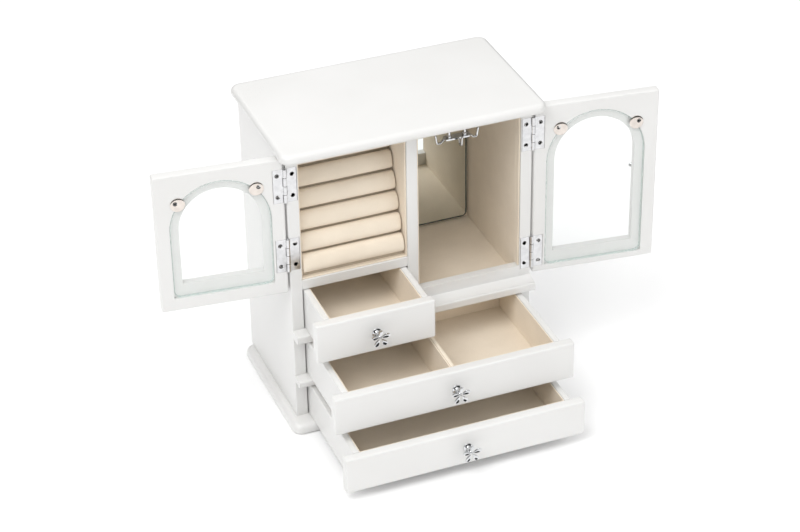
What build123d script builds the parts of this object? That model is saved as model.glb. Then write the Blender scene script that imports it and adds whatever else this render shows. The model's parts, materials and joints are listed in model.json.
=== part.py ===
"""A white painted jewellery chest: two glazed doors over three drawers, shown open.

Frame: millimetres, +Z up, the front faces -Y. The origin is the middle of the base board's underside.
Every moving piece is drawn where it stands at rest: doors swung open, drawers pulled out.
"""

from build123d import *
import os
from math import cos, radians, sin

# ---------------------------------------------------------------- driving dimensions, mm
CARCASS_WIDTH = 240.0
CARCASS_DEPTH = 134.0
TOTAL_HEIGHT = 302.0
BOARD_THICKNESS = 10.0  # base board, top board, doors and drawer fronts
SIDE_OVERHANG = 8.5  # base and top beyond the side panels
FRONT_OVERHANG = 18.0  # base and top beyond the carcass front
BOARD_CORNER_RADIUS = 10.0
TOP_EDGE_RADIUS = 4.8  # both edges of the top board, nearly a full bullnose
BASE_UPPER_EDGE_RADIUS = 6.0
BASE_LOWER_CHAMFER = 1.5

SIDE_THICKNESS = 11.0
BACK_THICKNESS = 4.0
DIVIDER_THICKNESS = 10.5
DIVIDER_CENTRE_X = 0.5

LOWER_SHELF_BOTTOM, LOWER_SHELF_TOP = 50.0, 56.5
MIDDLE_SHELF_BOTTOM, MIDDLE_SHELF_TOP = 99.0, 107.5
UPPER_SHELF_BOTTOM, UPPER_SHELF_TOP = 150.0, 160.0
SHELF_NOSE = 13.0  # how far the two lower shelves stand out in front
NOSE_RADIUS = 1.6
BELT_TOP = 122.0
BELT_DEPTH = 8.0
COVE_TOP = 111.0
COVE_FOOT = 108.0
COVE_SAG = 0.9
BELT_LEFT = -1.5  # the belt starts on the divider's front

LINING = 1.5  # flannel covered card
SLIDE_GAP = 1.2  # beside each drawer box
RUN_GAP = 0.4  # under and over each drawer box
CLOSED_GAP = 0.3  # behind a closed drawer front

DRAWER_WALL = 6.0
DRAWER_BOTTOM = 3.0
DRAWER_BACK_GAP = 1.0
DRAWER_LINING = 1.0
DRAWER_DIVIDER = 3.0
DRAWER_TOP_GAP = 0.2  # box below the front's upper edge
LINING_TOP_GAP = 0.8  # lining below the box's upper edge
DRAWER_OPENING = {1: 52.0, 2: 95.0, 3: 121.0}  # how far each one is pulled out at rest
FRONT_BOTTOM = {1: 109.0, 2: 58.0, 3: 10.8}
FRONT_TOP = {1: 149.5, 2: 97.0, 3: 47.5}
FRONT_EDGE_INSET = 1.3
FRONT_EDGE_RADIUS = 1.0
FRONT_ONE_RIGHT = -2.5

DOOR_GAP = 0.5  # between a closed door and the carcass front
DOOR_TOP = 291.0
LEFT_DOOR_BOTTOM = 150.4
RIGHT_DOOR_BOTTOM = 111.3
DOORS_MEET_X = -1.9
DOORS_MEET_GAP = 1.0
LEFT_DOOR_SWING = 186.0  # degrees open at rest
RIGHT_DOOR_SWING = 173.0
WINDOW_SIDE = 21.2  # frame width beside the opening
WINDOW_TOP = 20.5
LEFT_WINDOW_BOTTOM = 26.0
RIGHT_WINDOW_BOTTOM = 19.3  # the taller door has the narrower bottom rail
RABBET_SIDE = 9.0  # the step for the glass, beside and over the opening
RABBET_BOTTOM = 13.0  # and below it
GLASS_THICKNESS = 3.0
RABBET_DEPTH = 3.0
GLASS_CLEARANCE = 0.6
GLASS_CORNER = 6.0

CLIP_RADIUS = 6.7
CLIP_THICKNESS = 1.0
CLIP_ANGLE_HINGED = 46.0  # from the arch's crown towards the hinges
CLIP_ANGLE_FREE = 53.0  # and towards the free edge
CLIP_OUTSIDE = 0.3  # clip centre beyond the rabbet's arch
CLIP_SCREW_SHIFT = 2.8
CLIP_EDGE_RADIUS = 0.4

PIN_OUTSIDE = 1.0  # hinge axis beyond the carcass side
PIN_RADIUS = 0.75
KNUCKLE_RADIUS = 1.8
KNUCKLE_COUNT = 4
KNUCKLE_RELIEF = 0.35
KNUCKLE_GAP = 0.5
RUNNING_CLEARANCE = 0.05
LEAF_THICKNESS = 1.0
LEAF_WIDTH = 10.9  # from the pin's axis
LEAF_ROOT = 0.9  # where the flat of a leaf starts, inside its knuckles
HINGE_HEIGHT = 34.6
HINGE_SCREW_X = 7.0
HINGE_SCREW_SPACING = 22.0
MORTISE_GAP = 0.5
UPPER_HINGE_Z = 263.8
LEFT_LOWER_HINGE_Z = 190.6
RIGHT_LOWER_HINGE_Z = 135.2

SCREW_HEAD_RADIUS = 2.1
SCREW_SHANK_RADIUS = 1.1
SCREW_LENGTH = 7.5
SCREW_HEAD_DEPTH = 1.0
SLOT_WIDTH = 0.5
SLOT_DEPTH = 0.6
SLOT_SPAN = 0.6  # of the head's width

KNOB_RADIUS = 9.5
KNOB_PETALS = 5
PETAL_RADIUS = 3.5
PETAL_THICKNESS = 2.6
KNOB_STANDOFF = 7.5  # from the wood to the back of the petals
KNOB_FOOT_RADIUS = 4.6
KNOB_FOOT_HEIGHT = 3.0
KNOB_STEM_RADIUS = 2.4
KNOB_BOSS_RADIUS = 2.5
KNOB_BOSS_HEIGHT = 1.0
KNOB_HUB_RADIUS = 3.5
KNOB_SCREW_RADIUS = 1.5
KNOB_SCREW_HEAD_RADIUS = 3.2
KNOB_SCREW_HEAD = 1.8
KNOB_SLOT_SPAN = 0.7  # of the head's width
KNOB_SCREW_SUNK = 0.2  # head below the back of a drawer front
KNOB_HEAD_CLEARANCE = 0.3
KNOB_SCREW_REACH = 5.0  # into the knob
KNOB_STUD_DEPTH = 7.0  # of a door knob's stud, short of the door's inner face
DOOR_KNOB_INSET = 10.75  # the middle of the narrow frame beside the window
DOOR_KNOB_Z = 200.0

RING_ROLLS = 6
ROLL_PITCH = 19.9
ROLL_STANDOUT = 9.0
FIRST_ROLL = 2.2  # the foot of the first roll above the board's foot
ROLL_GAP = 0.3
ROLL_END_GAP = 0.6
RING_SLOPE = 19.8  # degrees from upright
RING_FOOT_Y = 5.8  # behind the carcass front
RING_BOARD_THICKNESS = 3.0

MIRROR_THICKNESS = 3.0
MIRROR_MARGIN = 1.6
MIRROR_HEIGHT = 170.0
MIRROR_CORNER = 5.0
MIRROR_CHAMFER = 0.6
BACKING_THICKNESS = 6.0

HOOK_Z = 260.0
HOOK_BEHIND_FRONT = 30.0
HOOK_PLATE = (26.0, 8.0, 1.5)
HOOK_PLATE_CORNER = 2.5
HOOK_POST_SPACING = 15.5
HOOK_POST_RADIUS = 1.5
HOOK_NUT_RADIUS = 2.6
HOOK_NUT_HEIGHT = 2.2
HOOK_NUT_EDGE = 0.5
PRONG_RADIUS = 1.1
PRONG_OVERLAP = 3.0
PRONG_REACH = 7.0
PRONG_DROP = 3.5
PRONG_RISE = 9.0
PRONG_LEAN = 1.5  # how far a prong's tip leans outwards
PRONG_BEND = 1.4

# ---------------------------------------------------------------- worked out from them
HALF_WIDTH = CARCASS_WIDTH / 2
BASE_DEPTH = CARCASS_DEPTH + FRONT_OVERHANG
BACK_Y = BASE_DEPTH / 2
FRONT_Y = BACK_Y - CARCASS_DEPTH
BOARD_LENGTH = CARCASS_WIDTH + 2 * SIDE_OVERHANG
CARCASS_TOP = TOTAL_HEIGHT - BOARD_THICKNESS
INNER_X = HALF_WIDTH - SIDE_THICKNESS
INNER_BACK_Y = BACK_Y - BACK_THICKNESS
DIVIDER_LEFT = DIVIDER_CENTRE_X - DIVIDER_THICKNESS / 2
DIVIDER_RIGHT = DIVIDER_CENTRE_X + DIVIDER_THICKNESS / 2
PIN_X = HALF_WIDTH + PIN_OUTSIDE
PIN_Y = FRONT_Y - DOOR_GAP / 2
KNUCKLE_HEIGHT = HINGE_HEIGHT / KNUCKLE_COUNT
SCREW_RECESS = KNOB_SCREW_HEAD + KNOB_SCREW_SUNK
CORNER = (Align.MIN, Align.MIN, Align.MIN)
UPWARDS = (Align.CENTER, Align.CENTER, Align.MIN)

os.makedirs("parts", exist_ok=True)


def save(builder, name):
    """Label a finished piece and write it as one STEP file."""
    builder.part.label = name
    export_step(builder.part, f"parts/{name}.step")


def board(x, y, z):
    """Add a plain board between two x, two y and two z levels to the open part."""
    with Locations((x[0], y[0], z[0])):
        Box(x[1] - x[0], y[1] - y[0], z[1] - z[0], align=CORNER)


def cutter(x, y, z):
    """The same box taken away from the open part."""
    with Locations((x[0], y[0], z[0])):
        Box(x[1] - x[0], y[1] - y[0], z[1] - z[0], align=CORNER, mode=Mode.SUBTRACT)


# ---------------------------------------------------------------- screws, shared by all the hardware
def screw_space(plane):
    """What a screw takes out of the wood and the metal around it: head in the plane, shank along -Z."""
    with BuildPart() as space:
        with BuildSketch(plane):
            Circle(SCREW_HEAD_RADIUS)
        with BuildSketch(plane.offset(-SCREW_HEAD_DEPTH)):
            Circle(SCREW_SHANK_RADIUS)
        loft()
        with BuildSketch(plane.offset(-SCREW_HEAD_DEPTH)):
            Circle(SCREW_SHANK_RADIUS)
        extrude(amount=-(SCREW_LENGTH - SCREW_HEAD_DEPTH))
    return space.part


def wood_screw(plane):
    """A countersunk screw that fills its space, but for the cross slot in its head."""
    with BuildPart() as screw:
        add(screw_space(plane))
        with BuildSketch(plane):
            Rectangle(2 * SCREW_HEAD_RADIUS * SLOT_SPAN, SLOT_WIDTH)
            Rectangle(SLOT_WIDTH, 2 * SCREW_HEAD_RADIUS * SLOT_SPAN)
        extrude(amount=-SLOT_DEPTH, mode=Mode.SUBTRACT)
    return screw.part


# ---------------------------------------------------------------- door frames of reference
class DoorSide:
    """One door and its hinges. u runs from the pin along the door, v out of its closed front, z up."""

    def __init__(self, name, swing, bottom, window_bottom, width, lower_hinge, sign):
        self.name = name
        self.bottom = bottom
        self.window_bottom = window_bottom
        self.width = width
        self.sign = sign  # +1 right, -1 left
        self.hinges = (UPPER_HINGE_Z, lower_hinge)
        closed = 180.0 if sign > 0 else 0.0
        heading = radians(closed + sign * swing)
        self.pin = Vector(sign * PIN_X, PIN_Y, 0)
        self.along = Vector(cos(heading), sin(heading), 0)
        self.plane = Plane(origin=self.pin, x_dir=self.along, z_dir=(0, 0, 1))
        self.carcass_plane = Plane(origin=self.pin, x_dir=(-sign, 0, 0), z_dir=(0, 0, 1))
        self.out = self.plane.y_dir * sign  # out of the closed front
        self.arch_u = PIN_OUTSIDE + width / 2
        self.window_half = width / 2 - WINDOW_SIDE
        self.arch_z = DOOR_TOP - WINDOW_TOP - self.window_half

    def v(self, low, high):
        """A span of v as a sorted span of the plane's own y."""
        return tuple(sorted((self.sign * low, self.sign * high)))

    def face(self, depth):
        """The plane at this depth from the door's inner face, its normal out of the inner face."""
        origin = self.pin + self.out * (DOOR_GAP / 2 + depth)
        return Plane(origin=origin, x_dir=self.along * self.sign, z_dir=self.out * -1)

    def carcass_face(self):
        """The carcass front beside this door, its normal towards -Y."""
        return Plane(origin=(self.pin.X, FRONT_Y, 0), x_dir=(1, 0, 0), z_dir=(0, -1, 0))

    def screw_planes(self, face, x):
        """Planes of the hinge screws in a face, heads flush with the leaf, at this distance from the pin."""
        heights = [z + half * HINGE_SCREW_SPACING / 2 for z in self.hinges for half in (-1, 1)]
        return [
            Plane(origin=face.from_local_coords((x, z, 0)), x_dir=face.x_dir, z_dir=face.z_dir) for z in heights
        ]

    def door_screws(self):
        return self.screw_planes(self.face(0), self.sign * HINGE_SCREW_X)

    def carcass_screws(self):
        return self.screw_planes(self.carcass_face(), -self.sign * HINGE_SCREW_X)


LEFT = DoorSide(
    name="left",
    swing=LEFT_DOOR_SWING,
    bottom=LEFT_DOOR_BOTTOM,
    window_bottom=LEFT_WINDOW_BOTTOM,
    width=DOORS_MEET_X - DOORS_MEET_GAP / 2 + HALF_WIDTH,
    lower_hinge=LEFT_LOWER_HINGE_Z,
    sign=-1,
)
RIGHT = DoorSide(
    name="right",
    swing=RIGHT_DOOR_SWING,
    bottom=RIGHT_DOOR_BOTTOM,
    window_bottom=RIGHT_WINDOW_BOTTOM,
    width=HALF_WIDTH - DOORS_MEET_X - DOORS_MEET_GAP / 2,
    lower_hinge=RIGHT_LOWER_HINGE_Z,
    sign=1,
)

# ---------------------------------------------------------------- carcass boards
for name, underside in (("base_board", 0.0), ("top_board", CARCASS_TOP)):
    with BuildPart() as bullnosed:
        with BuildSketch(Plane.XY.offset(underside)):
            RectangleRounded(BOARD_LENGTH, BASE_DEPTH, BOARD_CORNER_RADIUS)
        extrude(amount=BOARD_THICKNESS)
        rims = bullnosed.edges().group_by(Axis.Z)
        if name == "base_board":
            chamfer(rims[0], length=BASE_LOWER_CHAMFER)
            fillet(bullnosed.edges().group_by(Axis.Z)[-1], radius=BASE_UPPER_EDGE_RADIUS)
        else:
            fillet(rims[0] + rims[-1], radius=TOP_EDGE_RADIUS)
    save(bullnosed, name)

for side in (LEFT, RIGHT):
    inner, outer = sorted((side.sign * INNER_X, side.sign * HALF_WIDTH))
    with BuildPart() as panel:
        board((inner, outer), (FRONT_Y, BACK_Y), (BOARD_THICKNESS, CARCASS_TOP))
        for hinge_z in side.hinges:
            low, high = hinge_z - HINGE_HEIGHT / 2, hinge_z + HINGE_HEIGHT / 2
            leaf = sorted((side.pin.X, side.pin.X - side.sign * (LEAF_WIDTH + MORTISE_GAP)))
            cutter(leaf, (FRONT_Y - 1, FRONT_Y + LEAF_THICKNESS), (low, high))
            with Locations((side.pin.X, PIN_Y, low)):
                Cylinder(KNUCKLE_RADIUS + KNUCKLE_RELIEF, HINGE_HEIGHT, align=UPWARDS, mode=Mode.SUBTRACT)
        for plane in side.carcass_screws():
            add(screw_space(plane), mode=Mode.SUBTRACT)
    save(panel, f"side_panel_{side.name}")

with BuildPart() as back_panel:
    board((-INNER_X, INNER_X), (INNER_BACK_Y, BACK_Y), (BOARD_THICKNESS, CARCASS_TOP))
save(back_panel, "back_panel")

for name, bottom, top in (
    ("lower_shelf", LOWER_SHELF_BOTTOM, LOWER_SHELF_TOP),
    ("middle_shelf", MIDDLE_SHELF_BOTTOM, MIDDLE_SHELF_TOP),
):
    with BuildPart() as shelf:
        board((-HALF_WIDTH, HALF_WIDTH), (FRONT_Y - SHELF_NOSE, FRONT_Y), (bottom, top))
        nose = shelf.edges().filter_by(Axis.X).group_by(Axis.Y)[0]
        fillet(nose, radius=NOSE_RADIUS)
        board((-INNER_X, INNER_X), (FRONT_Y, INNER_BACK_Y), (bottom, top))
    save(shelf, name)

with BuildPart() as upper_shelf:
    board((-INNER_X, DIVIDER_LEFT), (FRONT_Y, INNER_BACK_Y), (UPPER_SHELF_BOTTOM, UPPER_SHELF_TOP))
save(upper_shelf, "upper_shelf")

with BuildPart() as centre_divider:
    board((DIVIDER_LEFT, DIVIDER_RIGHT), (FRONT_Y, INNER_BACK_Y), (MIDDLE_SHELF_TOP, CARCASS_TOP))
save(centre_divider, "centre_divider")

with BuildPart() as belt_moulding:
    with BuildSketch(Plane.YZ.offset(BELT_LEFT)):
        with BuildLine():
            foot_y = FRONT_Y - SHELF_NOSE + NOSE_RADIUS
            Polyline(
                (foot_y, COVE_FOOT),
                (foot_y, MIDDLE_SHELF_TOP),
                (FRONT_Y, MIDDLE_SHELF_TOP),
                (FRONT_Y, COVE_TOP),
            )
            SagittaArc((FRONT_Y, COVE_TOP), (foot_y, COVE_FOOT), COVE_SAG)
        make_face()
    extrude(amount=HALF_WIDTH - BELT_LEFT)
    board((DIVIDER_RIGHT, INNER_X), (FRONT_Y, FRONT_Y + BELT_DEPTH), (MIDDLE_SHELF_TOP, BELT_TOP))
save(belt_moulding, "belt_moulding")

# ---------------------------------------------------------------- ring bay, left
with BuildPart() as ring_bay_lining:
    board((-INNER_X, DIVIDER_LEFT), (FRONT_Y + LINING, INNER_BACK_Y), (UPPER_SHELF_TOP, CARCASS_TOP))
    cutter(
        (-INNER_X + LINING, DIVIDER_LEFT - LINING),
        (FRONT_Y, INNER_BACK_Y),
        (UPPER_SHELF_TOP + LINING, CARCASS_TOP + 1),
    )
save(ring_bay_lining, "ring_bay_lining")

RING_LEFT = -INNER_X + LINING
RING_RIGHT = DIVIDER_LEFT - LINING
RING_FLOOR = UPPER_SHELF_TOP + LINING
RING_SLANT = radians(RING_SLOPE)
RING_RISE = CARCASS_TOP - RING_FLOOR
RING_RUN = RING_RISE * sin(RING_SLANT) / cos(RING_SLANT)
RING_BOARD_RUN = RING_BOARD_THICKNESS / cos(RING_SLANT)
with BuildPart() as ring_board:
    with BuildSketch(Plane.YZ.offset(RING_LEFT)):
        with BuildLine():
            foot = FRONT_Y + RING_FOOT_Y
            Polyline(
                (foot, RING_FLOOR),
                (foot + RING_BOARD_RUN, RING_FLOOR),
                (foot + RING_BOARD_RUN + RING_RUN, CARCASS_TOP),
                (foot + RING_RUN, CARCASS_TOP),
                close=True,
            )
        make_face()
    extrude(amount=RING_RIGHT - RING_LEFT)
save(ring_board, "ring_board")

# x along the board's slope, y out of it towards the front
ring_plane = Plane(
    origin=(RING_LEFT + ROLL_END_GAP, FRONT_Y + RING_FOOT_Y, RING_FLOOR),
    x_dir=(0, sin(RING_SLANT), cos(RING_SLANT)),
    z_dir=(1, 0, 0),
)
with BuildPart() as ring_rolls:
    with BuildSketch(ring_plane):
        for roll in range(RING_ROLLS):
            low = FIRST_ROLL + roll * ROLL_PITCH + ROLL_GAP / 2
            high = low + ROLL_PITCH - ROLL_GAP
            with BuildLine():
                straight = Line((low, 0), (high, 0))
                ThreePointArc(straight @ 1, ((low + high) / 2, ROLL_STANDOUT), straight @ 0)
            make_face()
    extrude(amount=RING_RIGHT - RING_LEFT - 2 * ROLL_END_GAP)
save(ring_rolls, "ring_rolls")

# ---------------------------------------------------------------- necklace bay, right
BACKING_Y = INNER_BACK_Y - BACKING_THICKNESS
with BuildPart() as necklace_bay_lining:
    board((DIVIDER_RIGHT, INNER_X), (FRONT_Y + LINING, INNER_BACK_Y), (MIDDLE_SHELF_TOP, CARCASS_TOP))
    cutter(
        (DIVIDER_RIGHT + LINING, INNER_X - LINING),
        (FRONT_Y, INNER_BACK_Y),
        (MIDDLE_SHELF_TOP + LINING, CARCASS_TOP + 1),
    )
    cutter((DIVIDER_RIGHT, INNER_X), (FRONT_Y, FRONT_Y + BELT_DEPTH), (MIDDLE_SHELF_TOP, BELT_TOP))
save(necklace_bay_lining, "necklace_bay_lining")

BAY_LEFT = DIVIDER_RIGHT + LINING
BAY_RIGHT = INNER_X - LINING
BAY_FLOOR = MIDDLE_SHELF_TOP + LINING
BAY_CENTRE_X = (BAY_LEFT + BAY_RIGHT) / 2
with BuildPart() as mirror_backing:
    board((BAY_LEFT, BAY_RIGHT), (BACKING_Y, INNER_BACK_Y), (BAY_FLOOR, CARCASS_TOP))
save(mirror_backing, "mirror_backing")

with BuildPart() as mirror:
    with BuildSketch(Plane.XZ.offset(-BACKING_Y)):
        with Locations((BAY_CENTRE_X, BAY_FLOOR + MIRROR_MARGIN + MIRROR_HEIGHT / 2)):
            RectangleRounded(BAY_RIGHT - BAY_LEFT - 2 * MIRROR_MARGIN, MIRROR_HEIGHT, MIRROR_CORNER)
    extrude(amount=MIRROR_THICKNESS)
    chamfer(mirror.faces().sort_by(Axis.Y)[0].edges(), length=MIRROR_CHAMFER)
save(mirror, "mirror")

HOOK_Y = FRONT_Y + HOOK_BEHIND_FRONT
HOOK_SPOTS = [(BAY_CENTRE_X + shift * HOOK_POST_SPACING, HOOK_Y) for shift in (-0.5, 0.5)]
with BuildPart() as necklace_hook:
    with Locations((BAY_CENTRE_X, HOOK_Y, HOOK_Z)):
        Box(*HOOK_PLATE, align=(Align.CENTER, Align.CENTER, Align.MAX))
    fillet(necklace_hook.edges().filter_by(Axis.Z), radius=HOOK_PLATE_CORNER)
    prong_start = Vector(BAY_CENTRE_X, HOOK_Y, HOOK_Z - PRONG_RADIUS)
    for direction, half in (
        (Vector(-1, 0, 0), HOOK_PLATE[0] / 2),
        (Vector(1, 0, 0), HOOK_PLATE[0] / 2),
        (Vector(0, -1, 0), HOOK_PLATE[1] / 2),
    ):
        root = prong_start + direction * (half - PRONG_OVERLAP)
        edge = prong_start + direction * half
        dip = edge + direction * (PRONG_REACH / 2) + Vector(0, 0, -PRONG_DROP)
        bend = edge + direction * PRONG_REACH + Vector(0, 0, -PRONG_DROP)
        tip = edge + direction * (PRONG_REACH + PRONG_LEAN) + Vector(0, 0, PRONG_RISE - PRONG_DROP)
        with BuildLine() as wire:
            FilletPolyline(root, edge, dip, bend, tip, radius=PRONG_BEND)
        with BuildSketch(Plane(origin=root, z_dir=direction)):
            Circle(PRONG_RADIUS)
        sweep(path=wire.wire())
        with Locations(tip):
            Sphere(PRONG_RADIUS)
    with Locations(*[(x, y, HOOK_Z) for x, y in HOOK_SPOTS]):
        Cylinder(HOOK_POST_RADIUS, 2 * HOOK_PLATE[2], mode=Mode.SUBTRACT)
save(necklace_hook, "necklace_hook")

with BuildPart() as hook_posts:
    with BuildSketch(Plane.XY.offset(HOOK_Z - HOOK_PLATE[2])):
        with Locations(*HOOK_SPOTS):
            Circle(HOOK_POST_RADIUS)
    extrude(amount=CARCASS_TOP - HOOK_Z + HOOK_PLATE[2])
    with BuildSketch(Plane.XY.offset(HOOK_Z)):
        with Locations(*HOOK_SPOTS):
            Circle(HOOK_NUT_RADIUS)
    extrude(amount=HOOK_NUT_HEIGHT)
    nut_tops = hook_posts.faces().filter_by(Axis.Z).group_by(Axis.Z)[-2]
    fillet(nut_tops.edges().filter_by(GeomType.CIRCLE), radius=HOOK_NUT_EDGE)
save(hook_posts, "hook_posts")


# ---------------------------------------------------------------- hinges
def knuckles(hinge_z, first):
    """Lower ends of every second knuckle of one hinge, from knuckle number first."""
    return [hinge_z - HINGE_HEIGHT / 2 + n * KNUCKLE_HEIGHT for n in range(first, KNUCKLE_COUNT, 2)]


def hinge_leaf(plane, hinge_z, leaf_v, first):
    """A leaf let into the wood with its two knuckles, in a door's own u, v, z frame."""
    with BuildPart(plane) as leaf:
        with Locations((LEAF_ROOT, leaf_v[0], hinge_z - HINGE_HEIGHT / 2)):
            Box(LEAF_WIDTH - LEAF_ROOT, leaf_v[1] - leaf_v[0], HINGE_HEIGHT, align=CORNER)
        for low in knuckles(hinge_z, 1 - first):
            with Locations((0, 0, low)):
                Cylinder(KNUCKLE_RADIUS + KNUCKLE_RELIEF, KNUCKLE_HEIGHT, align=UPWARDS, mode=Mode.SUBTRACT)
        for low in knuckles(hinge_z, first):
            with Locations((0, 0, low + KNUCKLE_GAP / 2)):
                Cylinder(KNUCKLE_RADIUS, KNUCKLE_HEIGHT - KNUCKLE_GAP, align=UPWARDS)
    return leaf.part


def pin_bore(leaf, side, radius):
    """Bore a side's leaves for their pins."""
    with BuildPart() as bored:
        add(leaf)
        with Locations(side.pin):
            Cylinder(radius, TOTAL_HEIGHT, align=UPWARDS, mode=Mode.SUBTRACT)
    return bored.part


with BuildPart() as carcass_hinge_leaves:
    for side in (LEFT, RIGHT):
        leaf_v = sorted((-side.sign * DOOR_GAP / 2, -side.sign * (DOOR_GAP / 2 + LEAF_THICKNESS)))
        for hinge_z in side.hinges:
            leaf = hinge_leaf(side.carcass_plane, hinge_z, leaf_v, 0)
            add(pin_bore(leaf, side, PIN_RADIUS))
        for plane in side.carcass_screws():
            add(screw_space(plane), mode=Mode.SUBTRACT)
save(carcass_hinge_leaves, "carcass_hinge_leaves")

with BuildPart() as hinge_pins:
    for side in (LEFT, RIGHT):
        for hinge_z in side.hinges:
            with Locations((side.pin.X, PIN_Y, hinge_z)):
                Cylinder(PIN_RADIUS, HINGE_HEIGHT)
            with Locations((side.pin.X, PIN_Y, hinge_z + HINGE_HEIGHT / 2)):
                Sphere(PIN_RADIUS)
save(hinge_pins, "hinge_pins")

with BuildPart() as carcass_hinge_screws:
    for side in (LEFT, RIGHT):
        for plane in side.carcass_screws():
            add(wood_screw(plane))
save(carcass_hinge_screws, "carcass_hinge_screws")


# ---------------------------------------------------------------- knobs
def knob_plane(origin, out):
    """Plane on the wood's face with its normal along the knob's stem."""
    return Plane(origin=origin, x_dir=Vector(0, 0, 1).cross(out), z_dir=out)


def knob_body(plane):
    """A five-petalled flower on a round foot and stem, tapped for its screw."""
    with BuildPart() as knob:
        with BuildSketch(plane):
            Circle(KNOB_FOOT_RADIUS)
        with BuildSketch(plane.offset(KNOB_FOOT_HEIGHT)):
            Circle(KNOB_STEM_RADIUS)
        loft()
        with BuildSketch(plane.offset(KNOB_FOOT_HEIGHT)):
            Circle(KNOB_STEM_RADIUS)
        extrude(amount=KNOB_STANDOFF - KNOB_FOOT_HEIGHT)
        with BuildSketch(plane.offset(KNOB_STANDOFF)):
            Circle(KNOB_HUB_RADIUS)
            with PolarLocations(KNOB_RADIUS - PETAL_RADIUS, KNOB_PETALS, start_angle=90):
                Circle(PETAL_RADIUS)
        extrude(amount=PETAL_THICKNESS)
        with BuildSketch(plane.offset(KNOB_STANDOFF + PETAL_THICKNESS)):
            Circle(KNOB_BOSS_RADIUS)
        extrude(amount=KNOB_BOSS_HEIGHT)
        with BuildSketch(plane):
            Circle(KNOB_SCREW_RADIUS)
        extrude(amount=KNOB_SCREW_REACH, mode=Mode.SUBTRACT)
    return knob.part


def knob_screw(plane, depth):
    """The machine screw from the back of the wood into the knob, its pan head behind."""
    with BuildPart() as screw:
        with BuildSketch(plane.offset(-depth)):
            Circle(KNOB_SCREW_RADIUS)
        extrude(amount=depth + KNOB_SCREW_REACH)
        with BuildSketch(plane.offset(-depth)):
            Circle(KNOB_SCREW_HEAD_RADIUS)
        extrude(amount=-KNOB_SCREW_HEAD)
        with BuildSketch(plane.offset(-depth - KNOB_SCREW_HEAD)):
            Rectangle(2 * KNOB_SCREW_HEAD_RADIUS * KNOB_SLOT_SPAN, SLOT_WIDTH)
            Rectangle(SLOT_WIDTH, 2 * KNOB_SCREW_HEAD_RADIUS * KNOB_SLOT_SPAN)
        extrude(amount=SLOT_DEPTH, mode=Mode.SUBTRACT)
    return screw.part


def knob_stud(plane):
    """The headless stud that holds a door's knob: one end in the wood, one in the knob."""
    with BuildPart() as stud:
        with BuildSketch(plane.offset(-KNOB_STUD_DEPTH)):
            Circle(KNOB_SCREW_RADIUS)
        extrude(amount=KNOB_STUD_DEPTH + KNOB_SCREW_REACH)
    return stud.part


# ---------------------------------------------------------------- doors
def arched(side, margin_side, bottom, inset=0.0):
    """Round-headed outline about a door's window, on the door's face plane."""
    half = side.width / 2 - margin_side - inset
    foot = side.bottom + bottom + inset
    centre = side.sign * side.arch_u
    with BuildLine() as outline:
        Line((centre - half, side.arch_z), (centre - half, foot))
        Line((centre - half, foot), (centre + half, foot))
        Line((centre + half, foot), (centre + half, side.arch_z))
        ThreePointArc((centre + half, side.arch_z), (centre, side.arch_z + half), (centre - half, side.arch_z))
    make_face(outline.edges())


def clip_spots(side):
    """Clip centres and their screws' centres on the face plane."""
    rabbet = side.window_half + RABBET_SIDE
    spots = []
    for lean in (-CLIP_ANGLE_HINGED, CLIP_ANGLE_FREE):
        turn = radians(side.sign * lean)
        spots.append(
            tuple(
                (side.sign * side.arch_u + reach * sin(turn), side.arch_z + reach * cos(turn))
                for reach in (rabbet + CLIP_OUTSIDE, rabbet + CLIP_OUTSIDE + CLIP_SCREW_SHIFT)
            )
        )
    return spots


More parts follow.
